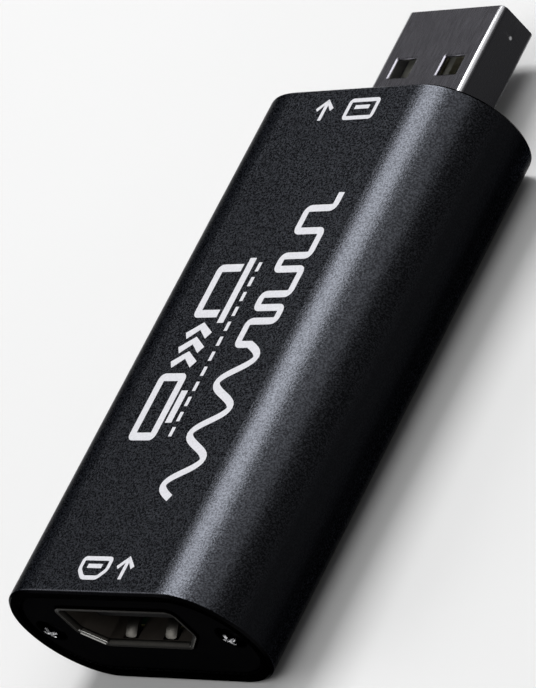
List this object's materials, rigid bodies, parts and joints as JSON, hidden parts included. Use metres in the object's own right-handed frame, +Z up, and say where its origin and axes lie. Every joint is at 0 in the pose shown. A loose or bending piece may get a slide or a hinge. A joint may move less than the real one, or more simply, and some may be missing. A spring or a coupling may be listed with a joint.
{
  "type": "video capture box",
  "caption": "Pocket video capture box: a black anodised aluminium sleeve with a video socket in one end, a flat computer plug on the other, and a circuit board inside.",
  "frame": {"origin": "under the middle of the whole length, on the flat face that the box lies on", "axes": "+Y from the socket end to the plug end, +Z up out of the upper flat, +X to the right seen from the socket end"},
  "size_m": [0.0284, 0.0654, 0.013],
  "materials": {
    "anodised_aluminium": "sand-blasted, black anodised",
    "end_plate_plastic": "matte",
    "screw_steel": "blackened",
    "board_laminate": "solder mask over glass laminate",
    "plated_shell": "nickel-plated sheet",
    "insert_plastic": "matte",
    "plug_insert_plastic": "matte",
    "contact_gold": "gold-plated",
    "chip_resin": "matte",
    "lead_tin": "tin-plated",
    "part_ceramic": "fired ceramic"
  },
  "bodies": {
    "root": {"sleeve": "anodised_aluminium", "input_end_plate": "end_plate_plastic", "output_end_plate": "end_plate_plastic", "input_plate_screws": "screw_steel", "output_plate_screws": "screw_steel", "circuit_board": "board_laminate", "input_socket_shell": "plated_shell", "input_socket_insert": "insert_plastic", "input_socket_upper_contacts": "contact_gold", "input_socket_lower_contacts": "contact_gold", "output_plug_shell": "plated_shell", "output_plug_insert": "plug_insert_plastic", "output_plug_contacts": "contact_gold", "capture_chip": "chip_resin", "capture_chip_leads": "lead_tin", "memory_chip": "chip_resin", "memory_chip_leads": "lead_tin", "regulators": "chip_resin", "regulator_leads": "lead_tin", "crystal_base": "part_ceramic", "crystal_lid": "lead_tin", "capacitors": "part_ceramic", "capacitor_ends": "lead_tin", "resistors": "chip_resin", "resistor_ends": "lead_tin"}
  },
  "joints": []
}
